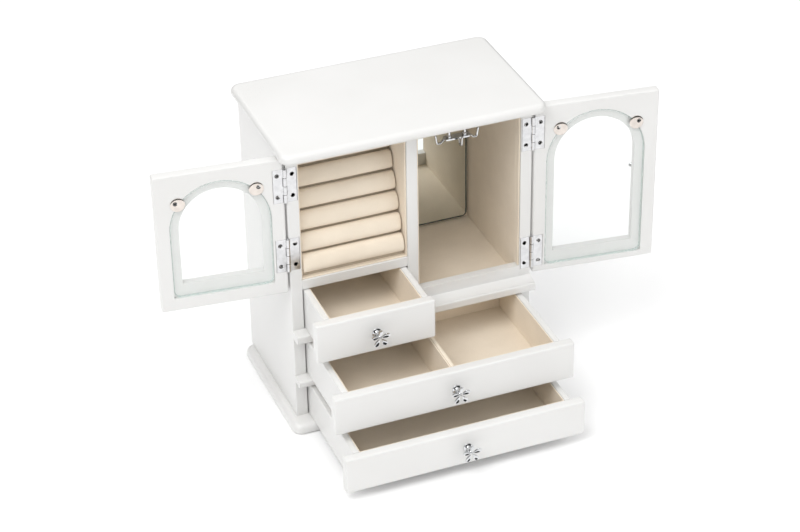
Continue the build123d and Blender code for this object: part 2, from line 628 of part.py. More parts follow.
for side in (LEFT, RIGHT):
    face = side.face(0)
    door = f"door_{side.name}"
    knob_u = side.sign * (PIN_OUTSIDE + side.width - DOOR_KNOB_INSET)
    outer = side.face(BOARD_THICKNESS)
    knob_spot = knob_plane(outer.from_local_coords((knob_u, DOOR_KNOB_Z, 0)), side.out)
    clip_planes = [
        Plane(origin=face.from_local_coords((x, z, CLIP_THICKNESS)), x_dir=face.x_dir, z_dir=face.z_dir)
        for _, (x, z) in clip_spots(side)
    ]

    with BuildPart() as frame:
        with BuildSketch(face):
            with Locations((side.sign * side.arch_u, (side.bottom + DOOR_TOP) / 2)):
                Rectangle(side.width, DOOR_TOP - side.bottom)
        extrude(amount=-BOARD_THICKNESS)
        with BuildSketch(face):
            arched(side, WINDOW_SIDE, side.window_bottom)
        extrude(amount=-BOARD_THICKNESS, mode=Mode.SUBTRACT)
        with BuildSketch(face):
            arched(side, WINDOW_SIDE - RABBET_SIDE, side.window_bottom - RABBET_BOTTOM)
        extrude(amount=-RABBET_DEPTH, mode=Mode.SUBTRACT)
        for hinge_z in side.hinges:
            with BuildSketch(face):
                with Locations((side.sign * (LEAF_WIDTH + MORTISE_GAP) / 2, hinge_z)):
                    Rectangle(LEAF_WIDTH + MORTISE_GAP, HINGE_HEIGHT)
            extrude(amount=-LEAF_THICKNESS, mode=Mode.SUBTRACT)
            with Locations((side.pin.X, side.pin.Y, hinge_z)):
                Cylinder(KNUCKLE_RADIUS + KNUCKLE_RELIEF, HINGE_HEIGHT, mode=Mode.SUBTRACT)
        for plane in side.door_screws() + clip_planes:
            add(screw_space(plane), mode=Mode.SUBTRACT)
        with BuildSketch(knob_spot):
            Circle(KNOB_SCREW_RADIUS)
        extrude(amount=-KNOB_STUD_DEPTH, mode=Mode.SUBTRACT)
    save(frame, f"{door}_frame")

    with BuildPart() as glass:
        with BuildSketch(face.offset(-RABBET_DEPTH)):
            arched(side, WINDOW_SIDE - RABBET_SIDE, side.window_bottom - RABBET_BOTTOM, GLASS_CLEARANCE)
        extrude(amount=GLASS_THICKNESS)
        lower = glass.edges().filter_by(Axis(face.origin, face.z_dir)).group_by(Axis.Z)[0]
        fillet(lower, radius=GLASS_CORNER)
    save(glass, f"{door}_glass")

    with BuildPart() as clips:
        with BuildSketch(face):
            with Locations(*[spot for spot, _ in clip_spots(side)]):
                Circle(CLIP_RADIUS)
        extrude(amount=CLIP_THICKNESS)
        fillet(clips.faces().sort_by(Axis(face.origin, face.z_dir))[-2:].edges(), radius=CLIP_EDGE_RADIUS)
        for plane in clip_planes:
            add(screw_space(plane), mode=Mode.SUBTRACT)
    save(clips, f"{door}_clips")

    with BuildPart() as clip_screws:
        for plane in clip_planes:
            add(wood_screw(plane))
    save(clip_screws, f"{door}_clip_screws")

    with BuildPart() as leaves:
        leaf_v = side.v(DOOR_GAP / 2, DOOR_GAP / 2 + LEAF_THICKNESS)
        for hinge_z in side.hinges:
            leaf = hinge_leaf(side.plane, hinge_z, leaf_v, 1)
            add(pin_bore(leaf, side, PIN_RADIUS + RUNNING_CLEARANCE))
        for plane in side.door_screws():
            add(screw_space(plane), mode=Mode.SUBTRACT)
    save(leaves, f"{door}_hinge_leaves")

    with BuildPart() as hinge_screws:
        for plane in side.door_screws():
            add(wood_screw(plane))
    save(hinge_screws, f"{door}_hinge_screws")

    with BuildPart() as knob:
        add(knob_body(knob_spot))
    save(knob, f"{door}_knob")

    with BuildPart() as stud:
        add(knob_stud(knob_spot))
    save(stud, f"{door}_knob_stud")

# ---------------------------------------------------------------- drawers
OPENINGS = {
    1: ((-INNER_X, DIVIDER_LEFT), (MIDDLE_SHELF_TOP, UPPER_SHELF_BOTTOM)),
    2: ((-INNER_X, INNER_X), (LOWER_SHELF_TOP, MIDDLE_SHELF_BOTTOM)),
    3: ((-INNER_X, INNER_X), (BOARD_THICKNESS, LOWER_SHELF_BOTTOM)),
}
for number, ((opening_left, opening_right), (opening_low, _)) in OPENINGS.items():
    drawer = f"drawer_{number}"
    pulled = DRAWER_OPENING[number]
    left, right = opening_left + SLIDE_GAP, opening_right - SLIDE_GAP
    low, high = opening_low + RUN_GAP, FRONT_TOP[number] - DRAWER_TOP_GAP
    front_back = FRONT_Y - CLOSED_GAP - pulled
    box_back = INNER_BACK_Y - DRAWER_BACK_GAP - pulled
    front_left = -HALF_WIDTH + FRONT_EDGE_INSET
    front_right = FRONT_ONE_RIGHT if number == 1 else HALF_WIDTH - FRONT_EDGE_INSET
    knob_x = (front_left + front_right) / 2
    knob_z = (FRONT_BOTTOM[number] + FRONT_TOP[number]) / 2
    knob_spot = knob_plane(Vector(knob_x, front_back - BOARD_THICKNESS, knob_z), Vector(0, -1, 0))

    with BuildPart() as front:
        board(
            (front_left, front_right),
            (front_back - BOARD_THICKNESS, front_back),
            (FRONT_BOTTOM[number], FRONT_TOP[number]),
        )
        fillet(front.faces().sort_by(Axis.Y)[0].edges(), radius=FRONT_EDGE_RADIUS)
        with BuildSketch(knob_spot):
            Circle(KNOB_SCREW_RADIUS)
        extrude(amount=-BOARD_THICKNESS, mode=Mode.SUBTRACT)
        with BuildSketch(knob_spot.offset(-BOARD_THICKNESS)):
            Circle(KNOB_SCREW_HEAD_RADIUS + KNOB_HEAD_CLEARANCE)
        extrude(amount=SCREW_RECESS, mode=Mode.SUBTRACT)
    save(front, f"{drawer}_front")

    with BuildPart() as sides:
        for x in ((left, left + DRAWER_WALL), (right - DRAWER_WALL, right)):
            board(x, (front_back, box_back), (low, high))
    save(sides, f"{drawer}_sides")

    with BuildPart() as back:
        board((left + DRAWER_WALL, right - DRAWER_WALL), (box_back - DRAWER_WALL, box_back), (low, high))
    save(back, f"{drawer}_back")

    inside_x = (left + DRAWER_WALL, right - DRAWER_WALL)
    inside_y = (front_back, box_back - DRAWER_WALL)
    with BuildPart() as bottom:
        board(inside_x, inside_y, (low, low + DRAWER_BOTTOM))
    save(bottom, f"{drawer}_bottom")

    floor = low + DRAWER_BOTTOM
    middle = sum(inside_x) / 2
    half = DRAWER_DIVIDER / 2
    cells = [(inside_x[0], middle - half), (middle + half, inside_x[1])] if number == 2 else [inside_x]
    with BuildPart() as lining:
        for x in cells:
            board(x, inside_y, (floor, high - LINING_TOP_GAP))
            cutter(
                (x[0] + DRAWER_LINING, x[1] - DRAWER_LINING),
                (inside_y[0] + DRAWER_LINING, inside_y[1] - DRAWER_LINING),
                (floor + DRAWER_LINING, high),
            )
    save(lining, f"{drawer}_lining")

    if number == 2:
        with BuildPart() as divider:
            board((middle - half, middle + half), inside_y, (floor, high))
        save(divider, f"{drawer}_divider")

    with BuildPart() as knob:
        add(knob_body(knob_spot))
    save(knob, f"{drawer}_knob")

    with BuildPart() as screw:
        add(knob_screw(knob_spot, BOARD_THICKNESS - SCREW_RECESS + KNOB_SCREW_SUNK))
    save(screw, f"{drawer}_knob_screw")
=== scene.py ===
# %% [markdown]
# # A white jewellery chest with glazed doors and drawers
# The joiner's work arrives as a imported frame: every board, hinge and screw stands where it belongs.
# This lesson gives each piece the finish and the small roundings of the real one, and builds the soft
# and shiny pieces afresh. Everything is in metres, +Z up, and the open front faces -Y.

# %% Load the frame
import json
from math import cos, degrees, hypot, pi, radians, sin

import bmesh
import bpy
from mathutils import Matrix, Vector

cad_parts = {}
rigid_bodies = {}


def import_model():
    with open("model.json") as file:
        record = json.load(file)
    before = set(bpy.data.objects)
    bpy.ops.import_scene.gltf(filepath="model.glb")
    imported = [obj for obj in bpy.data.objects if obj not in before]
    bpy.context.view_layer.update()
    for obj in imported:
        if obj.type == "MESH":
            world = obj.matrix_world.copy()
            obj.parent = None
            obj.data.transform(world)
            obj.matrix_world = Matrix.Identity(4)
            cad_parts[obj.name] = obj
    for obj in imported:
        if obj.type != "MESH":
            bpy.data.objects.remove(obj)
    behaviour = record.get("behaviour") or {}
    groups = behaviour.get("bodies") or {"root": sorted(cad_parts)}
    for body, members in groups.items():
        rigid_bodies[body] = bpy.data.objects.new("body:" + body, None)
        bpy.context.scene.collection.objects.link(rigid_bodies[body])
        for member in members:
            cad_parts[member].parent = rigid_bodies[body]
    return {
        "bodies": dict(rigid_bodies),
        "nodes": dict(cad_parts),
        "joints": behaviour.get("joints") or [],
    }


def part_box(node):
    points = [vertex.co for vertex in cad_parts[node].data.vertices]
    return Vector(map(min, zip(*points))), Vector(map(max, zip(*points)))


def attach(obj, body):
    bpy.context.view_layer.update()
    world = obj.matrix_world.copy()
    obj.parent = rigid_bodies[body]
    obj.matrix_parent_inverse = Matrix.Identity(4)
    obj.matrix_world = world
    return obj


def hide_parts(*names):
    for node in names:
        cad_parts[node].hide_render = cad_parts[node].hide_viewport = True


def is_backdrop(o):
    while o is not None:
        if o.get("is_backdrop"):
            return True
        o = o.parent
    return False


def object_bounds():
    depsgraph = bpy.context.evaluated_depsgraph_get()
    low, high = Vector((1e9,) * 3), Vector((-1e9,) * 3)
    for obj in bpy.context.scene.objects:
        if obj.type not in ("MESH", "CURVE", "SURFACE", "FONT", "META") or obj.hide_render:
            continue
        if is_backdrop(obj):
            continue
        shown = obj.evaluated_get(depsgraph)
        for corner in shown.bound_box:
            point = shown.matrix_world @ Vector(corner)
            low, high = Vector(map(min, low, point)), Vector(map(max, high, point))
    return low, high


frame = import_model()
cad_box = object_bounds()
nodes = frame["nodes"]
MM = 0.001
print("nodes", len(nodes), "CAD box", [[round(v, 4) for v in corner] for corner in cad_box])

# %% [markdown]
# ## The camera
# The chest is seen from its front left and from above, by a long lens, so its upright edges lean only a
# little. A camera looks along its own -Z, so three turns aim it: its heading about the upright, its tilt,
# and a very small roll. The shift slides the picture without turning the camera.

# %% Place the camera
LENS = 106.57
SENSOR_WIDTH = 36.0
SHIFT = (-0.0399, 0.0051)
HEADING, DOWNWARD, ROLL = radians(-21.953), radians(32.817), radians(-0.531)
CAMERA_PLACE = Vector((-0.6776, -1.7867, 1.3415))

camera_data = bpy.data.cameras.new("camera")
camera_data.lens = LENS
camera_data.sensor_width = SENSOR_WIDTH
camera_data.sensor_fit = "HORIZONTAL"
camera_data.shift_x, camera_data.shift_y = SHIFT
camera = bpy.data.objects.new("camera", camera_data)
camera.matrix_world = (
    Matrix.Translation(CAMERA_PLACE)
    @ Matrix.Rotation(HEADING, 4, "Z")
    @ Matrix.Rotation(pi / 2 - DOWNWARD, 4, "X")
    @ Matrix.Rotation(ROLL, 4, "Z")
)
bpy.context.scene.collection.objects.link(camera)
bpy.context.scene.camera = camera
print("camera", [round(v, 3) for v in CAMERA_PLACE], "lens", camera_data.lens)

# %% [markdown]
# ## Wiring materials
# Every finish, and the sky as well, is a small network of shader nodes. Writing the network as sums keeps
# it readable: a wrapped socket knows + and *, each of which adds one Math node, and one method adds any
# other node.


# %% The socket wrapper
NOISE_SPAN = (0.3, 0.7)


class Wire:
    """One shader socket. Sums and products of wires and numbers add Math nodes."""

    def __init__(self, tree, socket):
        self.tree = tree
        self.socket = socket

    def node(self, kind, settings=(), inputs=(), output=0):
        """Add a node of a kind, set it up, feed its sockets with values or wires, and return one output."""
        made = self.tree.nodes.new(kind)
        for name, value in dict(settings).items():
            if name == "stops":
                ramp = made.color_ramp
                for element, (place, colour) in zip(ramp.elements, value):
                    element.position = place
                    element.color = colour
                for place, colour in value[2:]:
                    ramp.elements.new(place).color = colour
            else:
                setattr(made, name, value)
        for name, value in dict(inputs).items():
            if isinstance(value, Wire):
                self.tree.links.new(value.socket, made.inputs[name])
            else:
                made.inputs[name].default_value = value
        return Wire(self.tree, made.outputs[output])

    def maths(self, operation, first, second):
        """One Math node of two values or wires."""
        return self.node("ShaderNodeMath", {"operation": operation}, {0: first, 1: second})

    def __add__(self, other):
        return self.maths("ADD", self, other)

    def __radd__(self, other):
        return self.maths("ADD", other, self)

    def __mul__(self, other):
        return self.maths("MULTIPLY", self, other)

    def __rmul__(self, other):
        return self.maths("MULTIPLY", other, self)

    def noise(self, scale, detail=3.0, stretch=(1.0, 1.0, 1.0)):
        """Noise on the piece's own coordinates, from 0 to 1."""
        place = self.node("ShaderNodeMapping", inputs={"Vector": self, "Scale": stretch})
        return self.node("ShaderNodeTexNoise", inputs={"Vector": place, "Scale": scale, "Detail": detail})

    def between(self, low, high):
        """Squeeze noise, which keeps to the middle of 0 to 1, into low to high."""
        least, most = NOISE_SPAN
        return self.node(
            "ShaderNodeMapRange",
            inputs={"Value": self, "From Min": least, "From Max": most, "To Min": low, "To Max": high},
        )

    def tint(self, dark, light):
        """A colour between two, by this wire."""
        return self.node(
            "ShaderNodeMix", {"data_type": "RGBA"}, {0: self, 6: (*dark, 1.0), 7: (*light, 1.0)}, output=2
        )

    def bump(self, height, distance, strength=1.0):
        """A normal from a height, distance in metres."""
        values = {"Height": height, "Distance": distance, "Strength": strength}
        return self.node("ShaderNodeBump", inputs=values)


# %% A new finish
def finish(name):
    """A new material: its shader node, and a wire of object coordinates."""
    material = bpy.data.materials.new(name)
    material.use_nodes = True
    tree = material.node_tree
    coordinates = tree.nodes.new("ShaderNodeTexCoord")
    return material, tree.nodes["Principled BSDF"], Wire(tree, coordinates.outputs["Object"])


def connect(shader, values):
    """Set a shader's sockets to values or wires."""
    for name, value in values.items():
        if isinstance(value, Wire):
            value.tree.links.new(value.socket, shader.inputs[name])
        else:
            shader.inputs[name].default_value = value


# %% [markdown]
# ## Studio light
# White paint needs light from every side, or its shaded faces turn grey, but chrome needs something dark
# to mirror, or it looks like paint too. So the surround is bright overhead and dark near the horizon, and
# two soft panels make up for it: a big one above and to the left, which draws the highlights, and a
# smaller one in front and to the right.

# %% Surround
SKY_STRENGTH = 1.02
SKY_DARK, SKY_WHITE = (0.03, 0.03, 0.035, 1.0), (1.0, 1.0, 1.0, 1.0)
DARK_BELOW, WHITE_ABOVE = 0.12, 0.50

world = bpy.data.worlds.new("studio")
bpy.context.scene.world = world
world.use_nodes = True
sky = world.node_tree
direction = Wire(sky, sky.nodes.new("ShaderNodeTexCoord").outputs["Generated"])
upward = direction.node("ShaderNodeSeparateXYZ", inputs={"Vector": direction}, output=2)
stops = [(DARK_BELOW, SKY_DARK), (WHITE_ABOVE, SKY_WHITE)]
dome = upward.node("ShaderNodeValToRGB", {"stops": stops}, {"Fac": upward})
connect(sky.nodes["Background"], {"Color": dome, "Strength": SKY_STRENGTH})
bpy.context.scene.view_settings.view_transform = "Standard"
print("sky nodes", len(sky.nodes))


# %% Soft panels
CHEST_MIDDLE = (0.0, -0.05, 0.15)


def soft_panel(name, place, size, watts):
    """A square area light at place, facing the chest."""
    data = bpy.data.lights.new(name, "AREA")
    data.shape = "SQUARE"
    data.size = size
    data.energy = watts
    panel = bpy.data.objects.new(name, data)
    panel.location = place
    panel.rotation_euler = (Vector(place) - Vector(CHEST_MIDDLE)).to_track_quat("Z", "Y").to_euler()
    bpy.context.scene.collection.objects.link(panel)
    print("light", name, watts, "W")


soft_panel("key_panel", place=(-1.12, -0.92, 2.2), size=1.5, watts=29.0)
soft_panel("fill_panel", place=(1.2, -1.97, 0.94), size=1.0, watts=6.0)

# %% [markdown]
# A photographer stands black card around polished metal, just out of the picture, because chrome shows
# only what it mirrors. A ring of dark card does it here. It is seen by mirror reflections alone, so it
# throws no shadow and doesn't dim the paint.

# %% Dark card for the metal
CARD_RING_RADIUS = 1.0
CARD_RING_HEIGHT = 0.8
ring_mesh = bmesh.new()
bmesh.ops.create_cone(
    ring_mesh,
    cap_ends=False,
    segments=64,
    radius1=CARD_RING_RADIUS,
    radius2=CARD_RING_RADIUS,
    depth=CARD_RING_HEIGHT,
)
bmesh.ops.translate(ring_mesh, verts=ring_mesh.verts, vec=(0, 0, CARD_RING_HEIGHT / 2 + MM))
ring_data = bpy.data.meshes.new("dark_card_ring")
ring_mesh.to_mesh(ring_data)
ring_mesh.free()
card_ring = bpy.data.objects.new("dark_card_ring", ring_data)
bpy.context.scene.collection.objects.link(card_ring)
card_ring.visible_camera = False
card_ring.visible_diffuse = False
card_ring.visible_shadow = False
card_ring.visible_transmission = False
card_ring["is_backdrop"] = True
print("card ring", CARD_RING_RADIUS, "m round,", CARD_RING_HEIGHT, "m high")

# %% [markdown]
# ## Sprayed white paint
# The boards are fibre board, sprayed with several coats of satin white. Sprayed paint is never quite
# flat: it has a very shallow orange peel about a millimetre across, and its gloss wanders a little
# where one pass of the gun overlaps the next.

# %% Paint
paint, shader, place = finish("satin_paint")
peel = place.noise(1100.0, 2.0)
passes = place.noise(14.0, 2.0)
connect(
    shader,
    {
        "Base Color": passes.between(0.0, 1.0).tint((0.735, 0.730, 0.715), (0.76, 0.756, 0.743)),
        "Roughness": passes.between(0.26, 0.36) + peel * 0.04,
        "Coat Weight": 0.25,
        "Coat Roughness": 0.12,
        "Normal": place.bump(peel, 0.00003, 0.35),
    },
)
print("made", paint.name, "with", len(paint.node_tree.nodes), "nodes")

# %% [markdown]
# ## Flannel
# The bays and drawers are lined with a thin brushed flannel, warm beige, glued over card. Its nap is a
# felt of fibres far too fine to model, so two noises stand for it: a fine one for the fibres, and a
# broad one where the nap has been stroked different ways. Sheen lightens it at grazing angles.

# %% Flannel
flannel, shader, place = finish("beige_flannel")
fibres = place.noise(2600.0, 4.0)
stroked = place.noise(38.0, 3.0)
nap = fibres * 0.55 + stroked * 0.45
connect(
    shader,
    {
        "Base Color": nap.between(0.0, 1.0).tint((0.77, 0.675, 0.55), (0.89, 0.79, 0.655)),
        "Roughness": nap.between(0.88, 0.98),
        "Sheen Weight": 0.2,
        "Sheen Roughness": 0.6,
        "Specular IOR Level": 0.25,
        "Normal": place.bump(fibres, 0.00012, 0.6),
    },
)
print("made", flannel.name, "with", len(flannel.node_tree.nodes), "nodes")

# %% [markdown]
# ## Card
# The board behind the ring rolls is card, wrapped in the same cloth and seen only at its edges, in the
# grooves between the rolls. It is painted darker than the cloth, as painted shade of those grooves.

# %% Card
card, shader, place = finish("wrapped_card_groove_shade")
fleck = place.noise(900.0, 4.0)
connect(
    shader,
    {
        # painted shade: the ring board is darker than the cloth, for the shadow in the grooves between the
        # rolls
        "Base Color": fleck.between(0.0, 1.0).tint((0.52, 0.44, 0.34), (0.62, 0.53, 0.42)),
        "Roughness": fleck.between(0.85, 0.95),
        "Normal": place.bump(fleck, 0.0001, 0.5),
    },
)
print("made", card.name)

# %% [markdown]
# ## Plated metals
# The knobs and the necklace hook are bright chrome, the glass clips a warmer polished nickel, and the
# hinges are stamped steel with a dull nickel plate whose fine lines run along the leaf. The screws are
# zinc plated, and the ring round each head is painted near black as the shade in its countersink. A
# metal's colour sits in Base Color, and the lines sit in its roughness and bump. Specular Tint is its
# colour at a glancing angle; chrome's is painted dark there, as a painted reflection of dark surroundings.


# %% Chrome, nickel, steel, zinc and painted countersink shade
EVEN_GRAIN = (1, 1, 1)
UPRIGHT_LINES = (1, 1, 0.04)
# painted reflection: a dark glancing tint that stands in for dark surroundings mirrored at the chrome's rim
CHROME_PAINTED_DARK_RIM = (0.12, 0.125, 0.13)


def plated(name, dark, light, rough, depth, lines=EVEN_GRAIN, rim=(1.0, 1.0, 1.0)):
    """A plated metal: two tints, a span of roughness, its lines' depth and stretch, and its glancing tint."""
    material, shader, place = finish(name)
    wear = place.noise(220.0, 4.0)
    grain = place.noise(3200.0, 2.0, lines)
    connect(
        shader,
        {
            "Base Color": wear.between(0.0, 1.0).tint(dark, light),
            "Metallic": 1.0,
            "Roughness": (wear * 0.4 + grain * 0.6).between(*rough),
            "Specular Tint": (*rim, 1.0),
            "Normal": place.bump(grain, depth, 0.5),
        },
    )
    print("made", material.name)
    return material


chrome = plated(
    "bright_chrome", (0.60, 0.61, 0.62), (0.70, 0.71, 0.72), (0.02, 0.06), 0.000001, rim=CHROME_PAINTED_DARK_RIM
)
nickel = plated("polished_nickel", (0.64, 0.58, 0.535), (0.75, 0.69, 0.64), (0.07, 0.16), 0.000002)
steel = plated("hinge_steel", (0.60, 0.60, 0.61), (0.74, 0.74, 0.75), (0.12, 0.24), 0.000004, UPRIGHT_LINES)
zinc = plated("screw_zinc", (0.60, 0.59, 0.58), (0.74, 0.73, 0.72), (0.14, 0.28), 0.000004)
# painted shade: a near-black finish for the ring round each screw head, standing in for the countersink's
# shadow
countersink_shade = plated("painted_countersink_shade", (0.035, 0.033, 0.032), (0.09, 0.085, 0.08), (0.35, 0.55), 0.000004)

# %% [markdown]
# ## Glass
# The door windows are plain float glass, 3 mm thick. Seen square on it is clear, and seen through its
# own thickness it is pale green, so the ground edge gets a finish of its own. The pane mixes a clear
# shader with a glossy one by the angle of view, so it reflects more at a low angle, as glass does.

# %% Window glass
LEAST_MIRROR, MOST_MIRROR = 0.04, 0.9

glass, shader, place = finish("float_glass")
clear = place.node("ShaderNodeBsdfTransparent", inputs={"Color": (0.992, 0.998, 0.996, 1.0)})
smudge = place.noise(60.0, 3.0)
gloss = place.node(
    "ShaderNodeBsdfGlossy", inputs={"Color": (1.0, 1.0, 1.0, 1.0), "Roughness": smudge.between(0.0, 0.02)}
)
facing = place.node("ShaderNodeLayerWeight", inputs={"Blend": 0.5}, output=1)
glancing = facing * facing * facing * facing * facing
mirroring = glancing * MOST_MIRROR + LEAST_MIRROR
pane = place.node("ShaderNodeMixShader", inputs={0: mirroring, 1: clear, 2: gloss})
glass.node_tree.links.new(pane.socket, glass.node_tree.nodes["Material Output"].inputs["Surface"])
glass.node_tree.nodes.remove(shader)
print("made", glass.name)

# %% Edges of the glass, and the silvered face
glass_edge, shader, place = finish("glass_edge")
grind = place.noise(500.0, 3.0)
connect(
    shader,
    {
        "Base Color": grind.between(0.0, 1.0).tint((0.50, 0.74, 0.69), (0.72, 0.88, 0.84)),
        "Roughness": grind.between(0.12, 0.28),
        "Alpha": grind.between(0.25, 0.4),
    },
)

mirror_edge, shader, place = finish("mirror_edge")
grind = place.noise(500.0, 3.0)
connect(
    shader,
    {
        "Base Color": grind.between(0.0, 1.0).tint((0.05, 0.075, 0.075), (0.13, 0.17, 0.165)),
        "Roughness": grind.between(0.1, 0.25),
    },
)

silvered, shader, place = finish("silvered_glass")
haze = place.noise(40.0, 3.0)
connect(
    shader,
    {
        "Base Color": haze.between(0.0, 1.0).tint((0.80, 0.835, 0.81), (0.84, 0.87, 0.85)),
        "Metallic": 1.0,
        "Roughness": haze.between(0.0, 0.015),
    },
)
print("made", glass_edge.name, mirror_edge.name, silvered.name)

# %% [markdown]
# ## Tools for pieces
# A few helpers do what a joiner's hand plane and a sander do. One adds a block with rounded arrises, one
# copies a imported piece, and one finds its sharp outer edges. The last turns the finished mesh into an
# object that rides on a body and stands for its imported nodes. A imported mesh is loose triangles, so a copy
# is welded, and its flat faces are joined up before any edge is rounded.

# %% Blocks and rounds
SQUARE_ON = 0.99  # how nearly a face's normal lies along an axis to count as facing that way


def add_block(mesh, low, high, radius, segments=3):
    """Add a block between two corners with every edge rounded."""
    made = bmesh.ops.create_cube(mesh, size=1.0)["verts"]
    size = Vector(high) - Vector(low)
    bmesh.ops.scale(mesh, vec=size, verts=made)
    bmesh.ops.translate(mesh, vec=(Vector(high) + Vector(low)) / 2, verts=made)
    edges = dict.fromkeys(edge for vert in made for edge in vert.link_edges)
    round_edges(mesh, list(edges), radius, segments)


def round_edges(mesh, edges, radius, segments=3):
    """Bevel edges to a round."""
    bmesh.ops.bevel(
        mesh,
        geom=edges,
        offset=radius,
        offset_type="OFFSET",
        segments=segments,
        profile=0.5,
        affect="EDGES",
        clamp_overlap=True,
        material=-1,
    )


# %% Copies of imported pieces
WELD = 0.002 * MM
FLAT_WITHIN = radians(0.6)
SHARP_FROM = radians(60.0)


def copy_of(node, turn=None):
    """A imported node's mesh as one skin of flat faces, turned if asked."""
    mesh = bmesh.new()
    mesh.from_mesh(nodes[node].data)
    bmesh.ops.remove_doubles(mesh, verts=mesh.verts, dist=WELD)
    bmesh.ops.dissolve_limit(
        mesh, angle_limit=FLAT_WITHIN, verts=mesh.verts, edges=mesh.edges, use_dissolve_boundaries=False
    )
    if turn:
        bmesh.ops.transform(mesh, matrix=turn, verts=mesh.verts)
    return mesh


def corners(points):
    """The lowest and highest corners of the box round some points."""
    low = Vector([min(point[axis] for point in points) for axis in range(3)])
    high = Vector([max(point[axis] for point in points) for axis in range(3)])
    return low, high


def arrises(mesh, shortest, wanted=None):
    """The outer edges of a skin that are sharp, longer than the shortest, and wanted."""
    return [
        edge
        for edge in mesh.edges
        if edge.is_manifold
        and edge.is_convex
        and edge.calc_face_angle(0.0) > SHARP_FROM
        and edge.calc_length() > shortest
        and (wanted is None or wanted(edge))
    ]


# %% Finished pieces
CREASE = radians(38.0)
FACE_WEIGHT = 60


def make_piece(mesh, name, materials, body, stands_for):
    """Turn a finished mesh into an object of the chest."""
    bmesh.ops.recalc_face_normals(mesh, faces=mesh.faces)
    data = bpy.data.meshes.new(name)
    mesh.to_mesh(data)
    mesh.free()
    for material in materials:
        data.materials.append(material)
    data.shade_smooth()
    data.set_sharp_from_angle(angle=CREASE)
    piece = bpy.data.objects.new(name, data)
    bpy.context.scene.collection.objects.link(piece)
    flats = piece.modifiers.new("flats", "WEIGHTED_NORMAL")
    flats.keep_sharp = True
    flats.weight = FACE_WEIGHT
    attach(piece, body)
    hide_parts(*stands_for)
    print("piece", name, len(data.polygons), "faces")


def coat(node, material):
    """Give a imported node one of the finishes."""
    slots = nodes[node].data.materials
    slots.clear()
    slots.append(material)


# %% [markdown]
# ## Carcass boards
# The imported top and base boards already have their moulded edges, so they only need paint. The side
# panels, shelves, divider and belt moulding are copied, and their long arrises rounded by less than a
# millimetre, as sanding and paint leave them. Short edges around hinge recesses stay crisp.

# %% Paint the carcass
ARRIS = 0.7 * MM
SIDE_EDGE_FROM = 12 * MM
SHELF_EDGE_FROM = 5 * MM
HAIR = 0.1 * MM

for node in ("base_board", "top_board", "back_panel"):
    coat(node, paint)
inner_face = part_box("side_panel_right")[0].x


def off_the_lining(edge):
    """True for an edge outside the lined bays, where sandpaper reaches."""
    return all(abs(vert.co.x) > inner_face + HAIR for vert in edge.verts)


for node in ("side_panel_left", "side_panel_right"):
    board = copy_of(node)
    round_edges(board, arrises(board, SIDE_EDGE_FROM, off_the_lining), ARRIS)
    make_piece(board, f"{node}_finished", [paint], "carcass", [node])
for node in ("lower_shelf", "middle_shelf", "upper_shelf", "centre_divider", "belt_moulding"):
    board = copy_of(node)
    round_edges(board, arrises(board, SHELF_EDGE_FROM), ARRIS)
    make_piece(board, f"{node}_finished", [paint], "carcass", [node])

# %% [markdown]
# ## Doors
# The doors are easiest to work on shut, where their edges lie along X and Z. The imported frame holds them
# open, so each door's pieces are turned shut about its hinge, rounded, and turned back. The turn comes
# from the hinge joint: the end of its range is the shut door.

# %% Turns for the doors
turn_open = {}
for joint in frame["joints"]:
    if joint["type"] == "hinge":
        spot = Matrix.Translation(joint["pos_m"])
        swing = Matrix.Rotation(radians(-joint["range_deg"][0]), 4, Vector(joint["axis"]))
        turn_open[joint["child"]] = spot @ swing @ spot.inverted()
for door, turn in turn_open.items():
    print(door, "is turned by", round(degrees(turn.to_euler().z), 1), "degrees from shut")

# %% [markdown]
# The door frame's outer edges are rounded by a little over two millimetres. Its window keeps a sharp
# edge, and the step that the glass lies in stays square, because a router cuts it.

# %% Door frames
DOOR_EDGE = 2.4 * MM
DOOR_EDGE_FROM = 6 * MM
ON_THE_RIM = 0.01 * MM

for door, turn in turn_open.items():
    node = f"{door}_frame"
    shut = copy_of(node, turn.inverted())
    low, high = corners([vert.co for vert in shut.verts])

    def at_rim(edge):
        """True for an edge that runs round the outside of the shut door."""
        return all(
            min(vert.co.x - low.x, high.x - vert.co.x, vert.co.z - low.z, high.z - vert.co.z) < ON_THE_RIM
            for vert in edge.verts
        )

    round_edges(shut, arrises(shut, DOOR_EDGE_FROM, at_rim), DOOR_EDGE, segments=4)
    bmesh.ops.transform(shut, matrix=turn, verts=shut.verts)
    make_piece(shut, f"{door}_frame_finished", [paint], door, [node])

# %% [markdown]
# Each pane is cut with a round head and ground along its edge. The copy is made a little thinner, so that
# it doesn't share a plane with the wood behind it, which a ray can't tell apart. Its thin edge is
# bevelled, and the faces that don't lie in the pane's plane are given the green edge finish.

# %% Glass
PANE_FIT = 0.93
PANE_EDGE = 0.35 * MM

for door, turn in turn_open.items():
    node = f"{door}_glass"
    pane_mesh = copy_of(node, turn.inverted())
    middle = sum(vert.co.y for vert in pane_mesh.verts) / len(pane_mesh.verts)
    bmesh.ops.scale(
        pane_mesh, verts=pane_mesh.verts, vec=(1, PANE_FIT, 1), space=Matrix.Translation((0, -middle, 0))
    )
    round_edges(pane_mesh, arrises(pane_mesh, HAIR), PANE_EDGE, segments=2)
    for face in pane_mesh.faces:
        face.material_index = 0 if abs(face.normal.y) > SQUARE_ON else 1
    bmesh.ops.transform(pane_mesh, matrix=turn, verts=pane_mesh.verts)
    make_piece(pane_mesh, f"{door}_pane", [glass, glass_edge], door, [node])

# %% [markdown]
# ## Drawers
# A drawer front is a plain board with every edge well rounded by the sander, corners included. The thin
# boards of the box behind it have a small round along the top. Each is a fresh block in the packed
# board's place, and rounding a block is one bevel.

# %% Drawer boards
FRONT_EDGE = 1.8 * MM
BOX_EDGE = 1.0 * MM

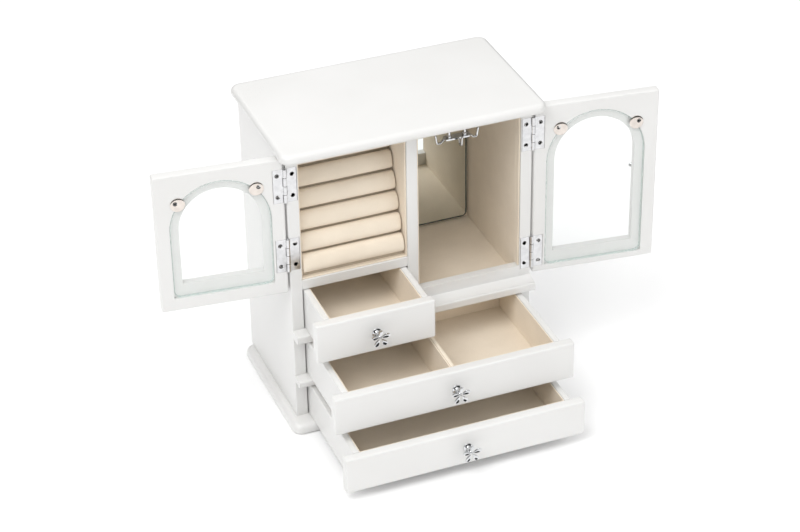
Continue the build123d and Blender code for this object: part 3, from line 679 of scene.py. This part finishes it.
drawers = [body for body in frame["bodies"] if body.startswith("drawer")]
for drawer in drawers:
    front = bmesh.new()
    add_block(front, *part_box(f"{drawer}_front"), FRONT_EDGE, segments=4)
    make_piece(front, f"{drawer}_front_finished", [paint], drawer, [f"{drawer}_front"])
    low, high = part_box(f"{drawer}_sides")
    back_low, back_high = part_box(f"{drawer}_back")
    sides = bmesh.new()
    add_block(sides, low, (back_low.x, high.y, high.z), BOX_EDGE)
    add_block(sides, (back_high.x, low.y, low.z), high, BOX_EDGE)
    make_piece(sides, f"{drawer}_sides_finished", [paint], drawer, [f"{drawer}_sides"])
    back = bmesh.new()
    add_block(back, back_low, back_high, BOX_EDGE)
    make_piece(back, f"{drawer}_back_finished", [paint], drawer, [f"{drawer}_back"])
    coat(f"{drawer}_bottom", paint)

# %% [markdown]
# ## Linings
# Each drawer is lined with five cloth-covered cards: one on the floor, and four against the walls. The
# cloth turns over each card's edge, so every card is a thin block with round edges, and a fine dark line
# shows where two of them meet. The bays are lined in the same way.

# %% Cloth covered cards
CARD = 1.0 * MM
BAY_CARD = 1.5 * MM
CARD_ROUND = 0.35  # of the card's thickness
DIVIDER_EDGE = 0.9 * MM


def add_tray(mesh, low, high, card, closed=True):
    """Cards for the floor and side walls of a box between two corners, and its front and back if closed."""
    edge = card * CARD_ROUND
    floor_top = low.z + card
    add_block(mesh, low, (high.x, high.y, floor_top), edge)
    add_block(mesh, (low.x, low.y, floor_top), (low.x + card, high.y, high.z), edge)
    add_block(mesh, (high.x - card, low.y, floor_top), high, edge)
    if closed:
        add_block(mesh, (low.x + card, low.y, floor_top), (high.x - card, low.y + card, high.z), edge)
        add_block(mesh, (low.x + card, high.y - card, floor_top), (high.x - card, high.y, high.z), edge)


for drawer in drawers:
    tray = bmesh.new()
    low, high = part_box(f"{drawer}_lining")
    divider = f"{drawer}_divider"
    if divider in nodes:
        middle_low, middle_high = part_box(divider)
        add_tray(tray, low, Vector((middle_low.x, high.y, high.z)), CARD)
        add_tray(tray, Vector((middle_high.x, low.y, low.z)), high, CARD)
        wall = bmesh.new()
        add_block(wall, middle_low, middle_high, DIVIDER_EDGE)
        make_piece(wall, f"{divider}_covered", [flannel], drawer, [divider])
    else:
        add_tray(tray, low, high, CARD)
    make_piece(tray, f"{drawer}_lining_cards", [flannel], drawer, [f"{drawer}_lining"])

# %% [markdown]
# The ring bay has a floor card and two walls. The necklace bay has the same, and because its walls reach
# further forward above the belt moulding than behind it, each has a second, shorter card in front.

# %% Cards of the bays
bay = bmesh.new()
add_tray(bay, *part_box("ring_bay_lining"), BAY_CARD, closed=False)
make_piece(bay, "ring_bay_cards", [flannel], "carcass", ["ring_bay_lining"])

bay = bmesh.new()
low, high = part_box("necklace_bay_lining")
belt_back, belt_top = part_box("belt_moulding")[1].yz
add_tray(bay, Vector((low.x, belt_back, low.z)), high, BAY_CARD, closed=False)
for wall_x in (low.x, high.x - BAY_CARD):
    front_low = (wall_x, low.y, belt_top)
    front_high = (wall_x + BAY_CARD, belt_back, high.z)
    add_block(bay, front_low, front_high, BAY_CARD * CARD_ROUND)
make_piece(bay, "necklace_bay_cards", [flannel], "carcass", ["necklace_bay_lining"])
# the ring board shows only between the rolls, so its darker finish is painted groove shade
coat("ring_board", card)
coat("mirror_backing", flannel)

# %% [markdown]
# ## Mirror
# The mirror is a plate of silvered glass with rounded corners. Its ground edge and a narrow border are not
# silvered and look nearly black against the cloth. An inset of the front face makes the border.

# %% Mirror
MIRROR_BORDER = 1.1 * MM

plate = copy_of("mirror")
for face in plate.faces:
    face.material_index = 1
silver = [face for face in plate.faces if face.normal.y < -SQUARE_ON]
bmesh.ops.inset_region(plate, faces=silver, thickness=MIRROR_BORDER, depth=0.0, use_even_offset=True)
for face in silver:
    face.material_index = 0
make_piece(plate, "mirror_plate", [silvered, mirror_edge], "carcass", ["mirror"])

# %% [markdown]
# ## Ring rolls
# A ring roll is a bar of foam wrapped in flannel. Six lie one above another on the sloping card, and a
# ring is held in the groove between two of them. Cloth simulation gives the wrapped foam its slight,
# uneven fullness: each roll is remeshed to even small faces, blown up a little, and held close to its
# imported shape, so that its neighbours still fit.

# %% Separate shells
def loose_parts(mesh):
    """The separate shells of a mesh, as sets of vertices."""
    seen = set()
    for start in mesh.verts:
        if start in seen:
            continue
        shell, frontier = set(), [start]
        while frontier:
            vert = frontier.pop()
            if vert not in shell:
                shell.add(vert)
                frontier.extend(edge.other_vert(vert) for edge in vert.link_edges)
        seen |= shell
        yield shell


# %% Modifiers and cloth
CLOTH_FRAMES = 20
CLOTH_MASS = 0.3
CLOTH_QUALITY = 5


def evaluated(piece):
    """A fresh mesh of a piece with its modifiers applied."""
    graph = bpy.context.evaluated_depsgraph_get()
    return bpy.data.meshes.new_from_object(piece.evaluated_get(graph))


def add_and_apply(piece, kind, **settings):
    """Apply one modifier to a piece's mesh."""
    modifier = piece.modifiers.new("work", kind)
    for name, value in settings.items():
        setattr(modifier, name, value)
    applied = evaluated(piece)
    piece.modifiers.clear()
    piece.data = applied


def puff(piece, pressure, cap):
    """Blow a closed mesh up as cloth, and let no point move further than the cap."""
    before = [vert.co.copy() for vert in piece.data.vertices]
    cloth = piece.modifiers.new("cloth", "CLOTH")
    cloth.settings.use_pressure = True
    cloth.settings.uniform_pressure_force = pressure
    cloth.settings.effector_weights.gravity = 0.0
    cloth.settings.quality = CLOTH_QUALITY
    cloth.settings.mass = CLOTH_MASS
    cloth.point_cache.frame_start = 1
    cloth.point_cache.frame_end = CLOTH_FRAMES
    for number in range(1, CLOTH_FRAMES + 1):
        bpy.context.scene.frame_set(number)
    puffed = evaluated(piece)
    piece.modifiers.clear()
    piece.data = puffed
    bpy.context.scene.frame_set(1)
    for vert, start in zip(piece.data.vertices, before):
        move = vert.co - start
        if move.length > cap:
            vert.co = start + move.normalized() * cap


# %% [markdown]
# A packed roll is a plain half-round bar, and such bars side by side would leave wide grooves. Tight foam
# fills its cloth out towards the corners, so each bar's section is first pushed from a circle to a fuller
# curve.


# %% Filling a roll out
class Lie:
    """Where a roll's flat back lies, which way it faces, and how far it reaches each way."""

    def __init__(self, one):
        back = max(one.faces, key=lambda face: face.calc_area())
        self.foot, self.out = back.calc_center_median(), -back.normal
        self.along = self.out.cross(Vector((1.0, 0.0, 0.0)))
        self.half_pitch = max(abs((vert.co - self.foot).dot(self.along)) for vert in one.verts)
        self.standout = max((vert.co - self.foot).dot(self.out) for vert in one.verts)


ROLL_FULLNESS = 3.0


def fill_out(verts, lie):
    """Push a half-round bar's surface towards the corners of its own box."""
    for vert in verts:
        offset = vert.co - lie.foot
        side = offset.dot(lie.along) / lie.half_pitch
        rise = max(0.0, offset.dot(lie.out) / lie.standout)
        full = (abs(side) ** ROLL_FULLNESS + rise**ROLL_FULLNESS) ** (1 / ROLL_FULLNESS)
        grow = hypot(side, rise) / full - 1 if full > 0 and rise > 0 else 0.0
        vert.co += lie.along * (side * lie.half_pitch * grow) + lie.out * (rise * lie.standout * grow)


# %% Six rolls
ROLL_VOXEL = 1.8 * MM
ROLL_SHRINK = 0.4 * MM
ROLL_SWELL = 0.55 * MM
ROLL_PRESSURE = 4.0


def lone_shell(source, shell):
    """A copy of a mesh with only one of its shells."""
    one = source.copy()
    one.verts.ensure_lookup_table()
    keep = {vert.index for vert in shell}
    bmesh.ops.delete(one, geom=[vert for vert in one.verts if vert.index not in keep], context="VERTS")
    bmesh.ops.recalc_face_normals(one, faces=one.faces)
    return one


def shape_roll(roll, lie):
    """Fill a plain bar out, shrink it a little and let the cloth swell."""
    add_and_apply(roll, "REMESH", mode="VOXEL", voxel_size=ROLL_VOXEL, adaptivity=0.0)
    fill_out(roll.data.vertices, lie)
    roll.data.update()
    for vert in roll.data.vertices:
        vert.co -= vert.normal * ROLL_SHRINK
    puff(roll, ROLL_PRESSURE, ROLL_SWELL)
    add_and_apply(roll, "SMOOTH", factor=0.5, iterations=2)
    add_and_apply(roll, "SUBSURF", levels=1, render_levels=1)


source = copy_of("ring_rolls")
rolls = sorted(loose_parts(source), key=lambda shell: min(vert.co.z for vert in shell))
for number, shell in enumerate(rolls, 1):
    name = f"ring_roll_{number}"
    one = lone_shell(source, shell)
    lie = Lie(one)
    data = bpy.data.meshes.new(name)
    one.to_mesh(data)
    one.free()
    roll = bpy.data.objects.new(name, data)
    bpy.context.scene.collection.objects.link(roll)
    shape_roll(roll, lie)
    roll.data.materials.clear()
    roll.data.materials.append(flannel)
    roll.data.shade_smooth()
    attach(roll, "carcass")
    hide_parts("ring_rolls")
    print(name, len(roll.data.polygons), "faces, stands out", round(lie.standout / MM, 1), "mm")
source.free()

# %% [markdown]
# ## Flower knobs
# Each knob is cast as a flower and chromed: a round foot against the wood, a neck, and five petals, each
# cupped like the bowl of a spoon. One petal is a flattened ball whose upper half is pressed in. Spinning
# copies it four more times. The neck is a profile spun about its axis, and a small dome closes the middle.

# %% One petal
PETAL_COUNT = 5
PETAL_HALF_WIDTH = 3.3 * MM
PETAL_HALF_LENGTH = 4.1 * MM
PETAL_HALF_THICKNESS = 0.8 * MM
PETAL_DISH = 1.6 * MM
PETAL_TAPER = 0.64
PETAL_LIFT = radians(6.0)


def add_petal(mesh, reach, height):
    """One petal along +Y, cupped, with its tip at this reach and height. Returns its geometry."""
    verts = bmesh.ops.create_uvsphere(mesh, u_segments=28, v_segments=20, radius=1.0)["verts"]
    bmesh.ops.rotate(mesh, verts=verts, matrix=Matrix.Rotation(pi / 2, 3, "X"))
    for vert in verts:
        across, along, up = vert.co
        cup = PETAL_DISH * (across * across + along * along)
        half_width = PETAL_HALF_WIDTH * (PETAL_TAPER + (1 - PETAL_TAPER) * along)
        vert.co = (across * half_width, along * PETAL_HALF_LENGTH, up * PETAL_HALF_THICKNESS + cup)
    bmesh.ops.rotate(mesh, verts=verts, matrix=Matrix.Rotation(PETAL_LIFT, 3, "X"))
    farthest = max(vert.co.y for vert in verts)
    highest = max(vert.co.z for vert in verts)
    bmesh.ops.translate(mesh, verts=verts, vec=(0, reach - farthest, height - highest))
    return verts + list(dict.fromkeys(face for vert in verts for face in vert.link_faces))


# %% The whole flower
BOSS_RADIUS = 1.9 * MM
NECK_RADIUS = 2.2 * MM
NECK_FROM = 2.8 * MM
FLARE, FLARE_HEIGHT = 1.0 * MM, 1.4 * MM
FOOT_RADIUS = 4.6 * MM
FOOT_ROUND = 0.3 * MM
FOOT_SLOPE, FOOT_HEIGHT = 0.2 * MM, 0.8 * MM
SPIN_WELD = 0.001 * MM


def add_flower(mesh, reach, height):
    """A flower on the axis Z, its foot at z 0, its petals' tips at this reach and height."""
    petal = add_petal(mesh, reach, height)
    bmesh.ops.spin(
        mesh,
        geom=petal,
        cent=(0, 0, 0),
        axis=(0, 0, 1),
        angle=2 * pi * (PETAL_COUNT - 1) / PETAL_COUNT,
        steps=PETAL_COUNT - 1,
        use_duplicate=True,
    )
    cup_floor = height - PETAL_DISH - 2 * PETAL_HALF_THICKNESS
    boss = bmesh.ops.create_uvsphere(mesh, u_segments=24, v_segments=14, radius=BOSS_RADIUS)["verts"]
    bmesh.ops.translate(mesh, verts=boss, vec=(0, 0, cup_floor))
    outline = [
        (0.0, 0.0),
        (FOOT_RADIUS - FOOT_ROUND, 0.0),
        (FOOT_RADIUS, FOOT_ROUND),
        (FOOT_RADIUS - FOOT_SLOPE, FOOT_HEIGHT),
        (NECK_RADIUS + FLARE, FLARE_HEIGHT),
        (NECK_RADIUS, NECK_FROM),
        (NECK_RADIUS, cup_floor - BOSS_RADIUS),
        (0.0, cup_floor),
    ]
    ring = [mesh.verts.new((radius, 0, along)) for radius, along in outline]
    edges = [mesh.edges.new(pair) for pair in zip(ring, ring[1:])]
    bmesh.ops.spin(
        mesh, geom=ring + edges, cent=(0, 0, 0), axis=(0, 0, 1), angle=2 * pi, steps=36, use_merge=True
    )
    bmesh.ops.remove_doubles(mesh, verts=mesh.verts, dist=SPIN_WELD)


# %% [markdown]
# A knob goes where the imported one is. One of five petals points straight up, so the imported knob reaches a
# little further above its axis than to each side, which gives the height of the axis.

# %% Five knobs
UP_PER_SIDE = 1.0318


def knob_place(node, joint_turn):
    """The place of a knob's foot on the wood, with Z along its neck and Y up, and its reach and height."""
    low, high = corners([joint_turn.inverted() @ vert.co for vert in nodes[node].data.vertices])
    reach = (high.x - low.x) / 2 * UP_PER_SIDE
    foot = Vector(((low.x + high.x) / 2, high.y, high.z - reach))
    place = joint_turn @ Matrix.Translation(foot) @ Matrix.Rotation(pi / 2, 4, "X")
    return place, reach, high.y - low.y


for body in [*drawers, *turn_open]:
    node = f"{body}_knob"
    place, reach, height = knob_place(node, turn_open.get(body, Matrix.Identity(4)))
    flower = bmesh.new()
    add_flower(flower, reach, height)
    bmesh.ops.transform(flower, matrix=place, verts=flower.verts)
    make_piece(flower, f"{body}_flower", [chrome], body, [node])

# %% [markdown]
# ## Screws
# Each screw head sits in a countersink, so a dark ring of shadow surrounds it, and here that shadow is
# painted. The imported screw already has its cross slot. An inset of the head's flat face makes a ring of
# faces, and those that meet the cone under the head get the painted shade.

# %% Screw heads
HEAD_RING = 0.4 * MM
HEAD_FLAT = 5.0 * MM * MM
LEAST_SLOPE, MOST_SLOPE = 0.1, 0.9


def beside_cone(face):
    """True for a face that shares an edge with a sloping one."""
    neighbours = [other for edge in face.edges for other in edge.link_faces]
    return any(LEAST_SLOPE < abs(other.normal.y) < MOST_SLOPE for other in neighbours)


def finish_screws(node, body, turn=Matrix.Identity(4)):
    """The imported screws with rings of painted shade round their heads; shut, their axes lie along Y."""
    screws = copy_of(node, turn.inverted())
    flats = [face for face in screws.faces if abs(face.normal.y) > SQUARE_ON and face.calc_area() > HEAD_FLAT]
    for flat in flats:
        inset = bmesh.ops.inset_region(
            screws, faces=[flat], thickness=HEAD_RING, depth=0.0, use_even_offset=True
        )
        for face in filter(beside_cone, inset["faces"]):
            # the ring faces beside the cone get the painted countersink shade
            face.material_index = 1
    bmesh.ops.transform(screws, matrix=turn, verts=screws.verts)
    make_piece(screws, f"{node}_finished", [zinc, countersink_shade], body, [node])


finish_screws("carcass_hinge_screws", "carcass")
for door, turn in turn_open.items():
    finish_screws(f"{door}_hinge_screws", door, turn)
    finish_screws(f"{door}_clip_screws", door, turn)

# %% [markdown]
# ## Glass clips
# Two polished nickel discs hold each pane. They are slightly domed, like a drawing pin, so they mirror
# more of the room than a flat disc would. The dome is a short curve spun about the disc's axis.

# %% Domed clips
CLIP_RIM = 0.45  # of the thickness, up to where the dome starts
DOME_STEPS = 6


def add_dome(mesh, centre, radius, thickness):
    """A domed disc, its back on y = centre.y and its dome towards +Y."""
    outline = [(0.0, 0.0), (radius, 0.0), (radius, CLIP_RIM * thickness)]
    for step in range(1, DOME_STEPS + 1):
        angle = step / DOME_STEPS * pi / 2
        outline.append((radius * cos(angle), thickness * (CLIP_RIM + (1 - CLIP_RIM) * sin(angle))))
    verts = [mesh.verts.new(centre + Vector((along, rise, 0))) for along, rise in outline]
    edges = [mesh.edges.new(pair) for pair in zip(verts, verts[1:])]
    bmesh.ops.spin(
        mesh, geom=verts + edges, cent=centre, axis=(0, 1, 0), angle=2 * pi, steps=48, use_merge=True
    )
    bmesh.ops.remove_doubles(mesh, verts=mesh.verts, dist=SPIN_WELD)


for door, turn in turn_open.items():
    node = f"{door}_clips"
    packed = copy_of(node, turn.inverted())
    domes = bmesh.new()
    for disc in loose_parts(packed):
        low, high = corners([vert.co for vert in disc])
        middle = (low + high) / 2
        add_dome(domes, Vector((middle.x, low.y, middle.z)), (high.x - low.x) / 2, high.y - low.y)
    packed.free()
    bmesh.ops.transform(domes, matrix=turn, verts=domes.verts)
    make_piece(domes, f"{door}_clips_domed", [nickel], door, [node])

# %% [markdown]
# ## Hinges
# The hinges are stamped leaves with rolled knuckles. Stamping rounds a leaf's upper edges a little, and
# those rounds catch the light along its outline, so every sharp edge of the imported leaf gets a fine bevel.

# %% Hinge leaves
LEAF_EDGE = 0.22 * MM
LEAF_EDGE_FROM = 3 * MM

for body in ["carcass", *turn_open]:
    node = f"{body}_hinge_leaves"
    turn = turn_open.get(body, Matrix.Identity(4))
    leaves = copy_of(node, turn.inverted())
    round_edges(leaves, arrises(leaves, LEAF_EDGE_FROM), LEAF_EDGE, segments=2)
    bmesh.ops.transform(leaves, matrix=turn, verts=leaves.verts)
    make_piece(leaves, f"{node}_finished", [steel], body, [node])

# %% Small metal parts
coat("hinge_pins", steel)
for node in nodes:
    if node.endswith(("knob_screw", "knob_stud")):
        coat(node, zinc)
    elif node in ("necklace_hook", "hook_posts"):
        coat(node, chrome)
print("pins, knob screws and studs, and the hook have their plating")

# %% [markdown]
# ## Floor
# The chest stands on a wide pale floor. The dark card ring gets its black here too.

# %% Floor
FLOOR_HALF = 5.0

floor_mesh = bmesh.new()
bmesh.ops.create_grid(floor_mesh, x_segments=2, y_segments=2, size=FLOOR_HALF)
floor_data = bpy.data.meshes.new("floor")
floor_mesh.to_mesh(floor_data)
floor_mesh.free()
floor = bpy.data.objects.new("floor", floor_data)
bpy.context.scene.collection.objects.link(floor)
floor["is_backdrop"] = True


def backdrop(name, dark, light, **values):
    """A finish that wanders a little between two greys."""
    material, shader, place = finish(name)
    tone = place.noise(3.0).between(0.0, 1.0).tint((dark,) * 3, (light,) * 3)
    connect(shader, {"Base Color": tone, **values})
    return material


matt = {"Roughness": 0.9, "Specular IOR Level": 0.0}
floor_data.materials.append(backdrop("pale_floor", 0.955, 0.97, **matt))
ring_data.materials.append(backdrop("black_card", 0.02, 0.03))
print("floor", 2 * FLOOR_HALF, "m across")

# %% [markdown]
# ## Sizes
# Last, the imported box and the finished one are set side by side, so they can be compared.

# %% Set the sizes side by side and finish
boxes = {"cad": cad_box, "visual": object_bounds()}
{name: [list(corner) for corner in box] for name, box in boxes.items()}
